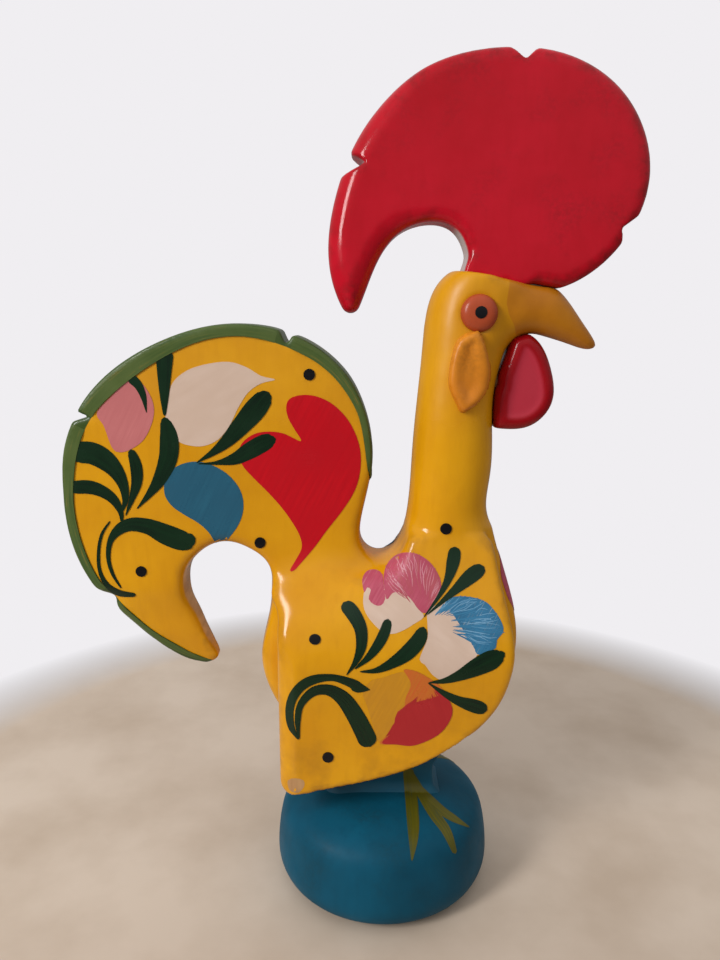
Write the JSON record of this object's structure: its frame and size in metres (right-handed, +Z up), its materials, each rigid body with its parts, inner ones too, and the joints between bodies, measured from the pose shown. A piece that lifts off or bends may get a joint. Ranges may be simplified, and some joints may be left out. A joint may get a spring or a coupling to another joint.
{
  "type": "rooster ornament",
  "caption": "Painted wooden folk rooster on a round base, with a sickle tail, hooked comb, carved side wings and drawn-in neck, for standing on a shelf.",
  "frame": {"origin": "centre of the base's flat underside, the face it rests on", "axes": "+Z up, +X towards the beak, +Y to the bird's left"},
  "size_m": [0.2024, 0.083, 0.3006],
  "materials": {
    "yellow_paint": "brushed gloss enamel",
    "red_paint": "brushed gloss enamel",
    "ochre_paint": "brushed gloss enamel",
    "orange_paint": "brushed gloss enamel",
    "blue_paint": "satin enamel",
    "bare_wood": "bare"
  },
  "bodies": {
    "root": {"base": "blue_paint", "body_core": "yellow_paint", "wing_right": "yellow_paint", "wing_left": "yellow_paint", "tail": "yellow_paint", "comb": "red_paint", "beak": "ochre_paint", "wattle": "red_paint", "eye_right": "orange_paint", "eye_left": "orange_paint", "earlobe_right": "ochre_paint", "earlobe_left": "ochre_paint", "base_dowels": "bare_wood", "tail_dowels": "bare_wood", "comb_dowels": "bare_wood", "beak_dowel": "bare_wood", "wattle_dowel": "bare_wood"}
  },
  "joints": []
}
